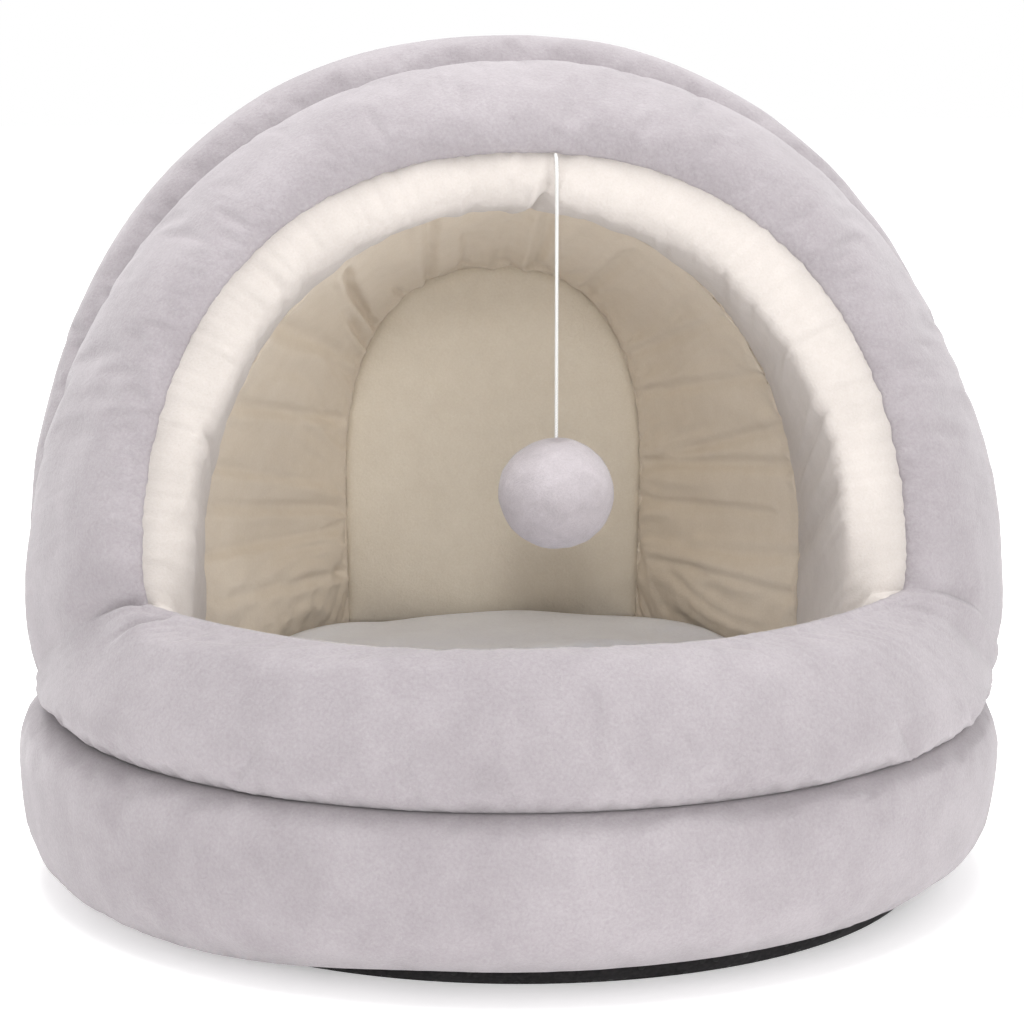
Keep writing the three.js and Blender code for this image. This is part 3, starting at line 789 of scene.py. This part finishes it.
def rearTier():
    steps = tierSize["archSteps"]
    outerFront = archLine(arches["grooveOuter"], steps)
    innerFront = archLine(arches["grooveInner"], steps)
    outerBack = archLine(arches["backOuter"], steps)
    innerBack = archLine(arches["backInner"], steps)
    behind, tuck = Vector((0, tierSize["grooveGap"], 0)), Vector((0, tierSize["liningTuck"], 0))
    stations = []
    for index in range(steps + 1):
        outerStart, innerStart = outerFront[index] + behind, innerFront[index] + behind
        startSplit = innerStart.lerp(outerStart, tierSize["liningShare"])
        endSplit = innerBack[index].lerp(outerBack[index], tierSize["liningShare"])
        stations.append((outerStart, innerStart, outerBack[index], innerBack[index], startSplit, endSplit,
                         partedBy(startSplit, endSplit, outerStart)))

    def tierPoint(size, side):
        def pointAt(along, share):
            index = round(along * steps)
            outerStart, innerStart, outerEnd, innerEnd, startSplit, endSplit, shift = stations[index]
            start, end, other = outerStart, outerEnd, innerStart
            if side < 0:
                start, end, other = innerStart - tuck, innerEnd, outerStart
            row = round(share * size["rows"]["all"])
            past = row - size["rows"]["cloth"]
            if past > 0:
                return (endSplit + shift * side, startSplit + shift * side, start)[past - 1]
            stuffing = stuffingAt(size["stuffing"], 2 * along, size["swelling"]["room"])
            return stuffedPoint(start, end, other, stuffing, row / size["rows"]["cloth"])
        return pointAt

    def rollHeight(along, share, co):
        if share * rearRollSize["rows"]["all"] > rearRollSize["rows"]["cloth"] + 0.5:
            return 0.0
        part = roomAt(share, rearRollSize["rows"])
        place = 2 * along
        fullness = math.sin(math.pi * part) ** 0.6
        height = rearRollSize["unevenness"] * fullness * (
            noise.noise(co * 10 + Vector((7, 7, 7))) + 0.5 * noise.noise(co * 24))
        height += foldHeight(rearRollSize["folds"], place, part)
        gather = waves(place * 26 + part, 3) + 0.6 * waves(place * 60, 5)
        return height + rearRollSize["gathers"] * gather * nearSeam(part, 0.12)

    def liningHeight(along, share, co):
        if share * rearLiningSize["rows"]["all"] > rearLiningSize["rows"]["cloth"] + 0.5:
            return 0.0
        part = roomAt(share, rearLiningSize["rows"])
        place = 2 * along
        fullness = min(1.0, math.sin(math.pi * part) * 2.2)
        drift = 0.35 * noise.noise(Vector((place * 3, part * 2.5, 4)))
        wrinkle = noise.noise(Vector((place * 15 + drift * 6, part * 2.2, 1)))
        wrinkle += 0.55 * noise.noise(Vector((place * 33 + drift * 9, part * 3.4, 6)))
        height = rearLiningSize["wrinkles"] * wrinkle * fullness
        height += rearLiningSize["unevenness"] * noise.noise(co * 26) * fullness
        height += foldHeight(rearLiningSize["folds"], place, part) * fullness
        gather = waves(place * 48, 8)
        return height + rearLiningSize["gathers"] * gather * nearSeam(part, 0.1) * min(1.0, fullness * 3)

    roll, spots = clothGrid(steps, rearRollSize["rows"]["all"], tierPoint(rearRollSize, 1))
    closeEnds(roll)
    swellTier(roll, spots, rearRollSize)
    rumple(roll, spots, rollHeight)
    finishPiece(roll, "rearRoll", greyPlush, "rear_roll")
    lining, spots = clothGrid(steps, rearLiningSize["rows"]["all"], tierPoint(rearLiningSize, -1))
    closeEnds(lining)
    swellTier(lining, spots, rearLiningSize)
    rumple(lining, spots, liningHeight)
    finishPiece(lining, "rearLining", denCreamPaintedLightShade, "rear_lining")


def closeEnds(bm):
    # fills the two feet of an arched piece
    rims = [edge for edge in bm.edges if edge.is_boundary]
    bmesh.ops.holes_fill(bm, edges=rims, sides=0)
    bmesh.ops.recalc_face_normals(bm, faces=bm.faces)
    bm.normal_update()


frontTier()
rearTier()


# Back panel

backPanelSize = {
    "stations": 220, "rows": 44, "footSteps": 60, "outerCrown": 0.013, "innerCrown": 0.005,
    "footBow": 0.015, "clearance": 0.0003, "unevenness": 0.0009, "gathers": 0.0006
}


def archedEdge(arch, footBow, steps):
    # an arched outline, closed along its foot, which bows back
    bow = archLine(arch, steps - backPanelSize["footSteps"])
    foot = []
    for step in range(1, backPanelSize["footSteps"]):
        across = step / backPanelSize["footSteps"]
        point = bow[-1].lerp(bow[0], across)
        point.y += footBow * 4 * across * (1 - across)
        foot.append(point)
    return bow + foot + [bow[0].copy()]


def backSide(name, edge, parting, crown, toward, material, node):
    # one side of the panel, from its flat back round the edge to its crowned middle
    steps, rows = len(edge) - 1, backPanelSize["rows"]
    middle = sum(edge[:-1], Vector()) / steps
    partMiddle = sum(parting[:-1], Vector()) / steps

    def pointAt(along, share):
        index = round(along * steps)
        row = round(share * rows)
        if row < 3:
            return partMiddle.lerp(parting[index], row / 2)  # flat side, hidden in the panel
        reach = 1 - (row - 3) / (rows - 3)
        rise = (1 - reach ** 3.2) ** (1 / 2.2)
        point = middle.lerp(edge[index], reach)
        return point + Vector((0, toward * crown * rise, 0))

    def heightAt(along, share, co):
        reach = 1 - (round(share * rows) - 3) / (rows - 3)
        if reach > 1:
            return 0.0
        inside = softStep(1 - reach, 0.0, 0.12)
        height = backPanelSize["unevenness"] * inside * (
            noise.noise(co * 14 + Vector((2, toward, 9))) + 0.5 * noise.noise(co * 34))
        gather = noise.noise(Vector((along * 70, toward * 5, 0.3)))
        return height + backPanelSize["gathers"] * gather * math.exp(-((1 - reach) / 0.14) ** 2) * inside

    bm, spots = clothGrid(steps, rows, pointAt)
    rumple(bm, spots, heightAt)
    finishPiece(bm, name, material, node)


def backPanel():
    steps = backPanelSize["stations"]
    outer = archedEdge(arches["backOuter"], backPanelSize["footBow"], steps)
    inner = archedEdge(arches["backInner"], 0.0, steps)
    straight = archedEdge(arches["backOuter"], 0.0, steps)
    centre = Vector((arches["backInner"]["shiftFoot"], 0, arches["backInner"]["springZ"]))

    def drawnIn(points):
        drawn = []
        for point in points:
            away = Vector((point.x - centre.x, 0, point.z - centre.z)).normalized()
            drawn.append(point - away * backPanelSize["clearance"])
        return drawn

    def parting(toward):
        between = [near.lerp(far, tierSize["liningShare"]) for near, far in zip(inner, straight)]
        return drawnIn([point + Vector((0, toward * tierSize["gap"] / 2, 0)) for point in between])

    backSide("backPanelOutside", drawnIn(outer), parting(1), backPanelSize["outerCrown"], 1,
             greyPlush, "back_panel")
    backSide("backPanelInside", drawnIn(inner), parting(-1), backPanelSize["innerCrown"], -1,
             backCreamPaintedLight, "back_lining")


backPanel()


# Base, its underside and the cushion

baseSize = {
    "steps": 240, "sideSteps": 36, "bottomZ": 0.0125, "hemZ": 0.0135,
    "footRadius": 0.190, "bottomRadius": 0.2045,
    "seamZ": 0.0825, "seamRadius": 0.212, "bulge": 0.0205, "spread": 0.16, "startSpread": -0.2,
    "square": 2.8, "wellRadius": 0.152, "wellDepth": 0.012, "drift": -0.002,
    "unevenness": 0.0009, "gathers": 0.0009, "bareEdge": 0.004,
    "hemSag": 0.006, "hemSagAngle": math.radians(198), "hemDrop": 0.0016,
    "swelling": {
        "pressure": 2.5, "fullness": 0.008, "stiffness": 3.0, "frames": 12,
        "cap": 0.004, "room": 0.003
    }
}
undersideSize = {
    "steps": 300, "radius": 0.191, "height": 0.012, "foot": 0.187, "drift": 0.005,
    "puckers": 20, "puckerDepth": 0.0012, "gathers": 0.0012
}
cushionSize = {
    "steps": 180, "frontReach": 0.153, "backReach": 0.141, "half": 0.134, "frontSquare": 2.0,
    "backSquare": 1.6, "topZ": 0.097, "edgeZ": 0.089, "bottomZ": 0.083, "dish": 0.012, "rumple": 0.0016,
    "swelling": {"pressure": 2.0, "fullness": 0.05, "stiffness": 2.0, "frames": 16, "cap": 0.004}
}


def roundPiece(rows, steps):
    # rows of radius and height, turned a whole turn about the upright axis
    bm = bmesh.new()
    verts = [bm.verts.new((radius, 0, z)) for radius, z in rows]
    edges = [bm.edges.new(pair) for pair in zip(verts, verts[1:])]
    bmesh.ops.spin(bm, geom=verts + edges, cent=(0, 0, 0), axis=(0, 0, 1), dvec=(0, 0, 0),
                   angle=math.tau, steps=steps, use_merge=True, use_duplicate=False)
    bmesh.ops.remove_doubles(bm, verts=bm.verts, dist=0.00002)
    bmesh.ops.recalc_face_normals(bm, faces=bm.faces)
    bm.normal_update()
    return bm


def betweenRows(rows, steps):
    filled = []
    for (radius, z), (nextRadius, nextZ) in zip(rows, rows[1:]):
        count = max(1, round(math.hypot(nextRadius - radius, nextZ - z) / steps))
        filled += [(blendOf(radius, nextRadius, part / count), blendOf(z, nextZ, part / count))
                   for part in range(count)]
    return filled + [rows[-1]]


def baseRoll(size):
    start = Vector((size["bottomRadius"], 0, size["hemZ"]))
    end = Vector((size["seamRadius"], 0, size["seamZ"]))
    centre = Vector((0, 0, (size["bottomZ"] + size["seamZ"]) / 2))
    side = []
    for step in range(size["sideSteps"] + 1):
        share = step / size["sideSteps"]
        stuffing = dict(size, spread=size["startSpread"] if share < 0.5 else size["spread"],
                        bulge=size["bulge"] - beforeSwelling(size["swelling"]["room"]))
        point = stuffedPoint(start, end, centre, stuffing, share)
        side.append((point.x, point.z))
    seamZ, deep, well = size["seamZ"], size["wellDepth"], size["wellRadius"]
    top = betweenRows([
        (size["seamRadius"], seamZ), (well, seamZ), (well * 0.8, seamZ - deep * 0.75),
        (well * 0.5, seamZ - deep), (well * 0.2, seamZ - deep * 0.98), (0.0, seamZ - deep * 0.98)
    ], 0.006)
    bottom = betweenRows([(0.0, size["bottomZ"]), (size["footRadius"], size["bottomZ"]), side[0]], 0.008)
    bm = roundPiece(bottom[:-1] + side + top[1:], size["steps"])
    height = seamZ - size["bottomZ"]
    for vert in bm.verts:
        if math.hypot(vert.co.x, vert.co.y) > well + 0.001:
            vert.co.x += size["drift"] * (seamZ - vert.co.z) / height

    def heldWeight(vert):
        inside = math.hypot(vert.co.x, vert.co.y) < size["bottomRadius"] - size["bareEdge"]
        return 1.0 if inside or vert.co.z > seamZ - 0.0008 or vert.co.z < size["hemZ"] + 0.0005 else 0.0

    swell(bm, heldWeight, size["swelling"])
    moves = []
    for vert in bm.verts:
        level = (vert.co.z - size["bottomZ"]) / height
        if math.hypot(vert.co.x, vert.co.y) < size["bottomRadius"] - size["bareEdge"]:
            continue
        angle = math.atan2(vert.co.y, vert.co.x)
        fullness = max(0.0, math.sin(math.pi * min(1.0, max(0.0, level)))) ** 0.6
        lift = size["unevenness"] * fullness * (noise.noise(vert.co * 12) + 0.6 * noise.noise(vert.co * 28))
        walk = Vector((math.cos(angle), math.sin(angle), 0))
        gather = noise.noise(walk * 18 + Vector((0, 0, level * 2))) + 0.6 * noise.noise(walk * 40)
        beside = math.exp(-(level / 0.3) ** 2) + 0.6 * math.exp(-((1 - level) / 0.2) ** 2)
        lift += size["gathers"] * gather * beside * fullness
        moves.append((vert, vert.normal * lift))
    for vert, move in moves:
        vert.co += move
    for vert in bm.verts:
        low = 1 - softStep(vert.co.z, size["hemZ"], size["hemZ"] + 0.04)
        turned = math.atan2(vert.co.y, vert.co.x) - size["hemSagAngle"]
        outside = softStep(math.hypot(vert.co.x, vert.co.y), size["footRadius"] + 0.003, size["bottomRadius"])
        vert.co.z -= size["hemDrop"] * low * outside
        vert.co.z -= size["hemSag"] * low * softStep(math.cos(turned), 0.5, 0.95)
    finishPiece(bm, "baseRoll", greyPlush, "base_roll")


def underside(size):
    rows = betweenRows([(0.0, 0.0), (size["foot"], 0.0), (size["radius"], size["height"] * 0.45),
                        (size["radius"], size["height"]), (0.0, size["height"])], 0.0035)
    bm = roundPiece(rows, size["steps"])
    for vert in bm.verts:
        radius, angle = math.hypot(vert.co.x, vert.co.y), math.atan2(vert.co.y, vert.co.x)
        edge = softStep(radius, size["foot"] - 0.02, size["foot"])
        walk = Vector((math.cos(angle), math.sin(angle), 0))
        pucker = size["puckerDepth"] * math.sin(size["puckers"] * angle)
        pucker += size["gathers"] * noise.noise(walk * 22)
        lift = edge * pucker * min(1.0, vert.co.z / 0.004)
        vert.co += Vector((walk.x * lift + size["drift"], walk.y * lift, 0))
    finishPiece(bm, "gripUnderside", blackGrip, "bottom_panel")


def cushionReach(size, angle):
    side = "front" if math.sin(angle) < 0 else "back"
    reach, square = size[side + "Reach"], size[side + "Square"]
    sideways, lengthways = abs(math.cos(angle)) / size["half"], abs(math.sin(angle)) / reach
    return (sideways ** square + lengthways ** square) ** (-1 / square)


def cushionPad(size):
    bottom, top, dish = size["bottomZ"], size["topZ"], size["dish"]
    rows = betweenRows([
        (0.0, bottom - dish + 0.0005), (0.5, bottom - dish + 0.0005), (0.8, bottom - dish * 0.6),
        (0.96, bottom + 0.0005), (1.0, size["edgeZ"]), (0.97, top - 0.003), (0.88, top - 0.0005),
        (0.6, top + 0.0005), (0.25, top + 0.001), (0.0, top + 0.001)
    ], 0.03)
    bm = roundPiece(rows, size["steps"])
    for vert in bm.verts:
        angle = math.atan2(vert.co.y, vert.co.x)
        reach = math.hypot(vert.co.x, vert.co.y) * cushionReach(size, angle)
        lift = 0.0
        if vert.co.z > top - 0.004:
            lift = size["rumple"] * noise.noise(Vector((vert.co.x * 3, vert.co.y * 3, 5)))
        vert.co = Vector((reach * math.cos(angle), reach * math.sin(angle), vert.co.z + lift))
    swell(bm, lambda vert: 1.0 if vert.co.z < size["edgeZ"] else 0.0, size["swelling"])
    finishPiece(bm, "denCushion", cushionPaintedLightPlush, "cushion")


baseRoll(baseSize)
underside(undersideSize)
cushionPad(cushionSize)


# Floor and light

stageLook = {
    "wallLight": 0.73, "floorGlow": 0.37,
    "keyLight": {"spot": (-0.1, -0.15, 2.4), "aim": (0, 0, 0.15), "size": 1.5, "power": 39.0},
    "frontLight": {"spot": (1.6, -1.8, 0.45), "aim": (0, 0, 0.13), "size": 1.0, "power": 12.5},
    "backLight": {"spot": (-0.2, 1.5, 2.1), "aim": (0, 0, 0.3), "size": 1.5, "power": 24.0},
    "leftLight": {"spot": (-2.2, -0.9, 0.5), "aim": (0, 0, 0.15), "size": 1.2, "power": 2.0},
    "denLight": {"spot": (-0.15, -1.95, 0.95), "aim": (0.0, 0.02, 0.135), "cone": math.radians(10.0),
                 "softness": 0.3, "power": 124.0}
}


def stageSet():
    bm = bmesh.new()
    bmesh.ops.create_grid(bm, x_segments=1, y_segments=1, size=4)
    mesh = bpy.data.meshes.new("floor")
    bm.to_mesh(mesh)
    bm.free()
    floor = bpy.data.objects.new("floor", mesh)
    scene.collection.objects.link(floor)
    material, nodes, links, shader = newMaterial("paleFloor")
    shader.inputs["Base Color"].default_value = (0.92, 0.92, 0.92, 1)
    shader.inputs["Roughness"].default_value = 0.9
    shader.inputs["Emission Color"].default_value = (1, 1, 1, 1)
    shader.inputs["Emission Strength"].default_value = stageLook["floorGlow"]
    mesh.materials.append(material)
    world = bpy.data.worlds.new("studio")
    world.use_nodes = True
    nodes, links = world.node_tree.nodes, world.node_tree.links
    wall = nodes["Background"]  # white wall as seen, softer as a light
    wall.inputs["Color"].default_value = (1, 1, 1, 1)
    seen = nodes.new("ShaderNodeLightPath").outputs["Is Camera Ray"]
    links.new(rangeNode(nodes, links, seen, 0.0, 1.0, stageLook["wallLight"], 1.0), wall.inputs["Strength"])
    scene.world = world


def placeLight(name, data, look):
    data.energy = look["power"]
    light = bpy.data.objects.new(name, data)
    light.location = look["spot"]
    light.rotation_euler = (Vector(look["aim"]) - Vector(look["spot"])).to_track_quat("-Z", "Y").to_euler()
    scene.collection.objects.link(light)


def softLight(name, look):
    data = bpy.data.lights.new(name, "AREA")
    data.shape = "DISK"
    data.size = look["size"]
    placeLight(name, data, look)


def narrowLight(name, look):
    data = bpy.data.lights.new(name, "SPOT")
    data.spot_size = look["cone"]
    data.spot_blend = 1.0
    data.shadow_soft_size = look["softness"]
    placeLight(name, data, look)


stageSet()
for lightName in ("keyLight", "frontLight", "backLight", "leftLight"):
    softLight(lightName, stageLook[lightName])
narrowLight("denLight", stageLook["denLight"])
print("stage and light set")
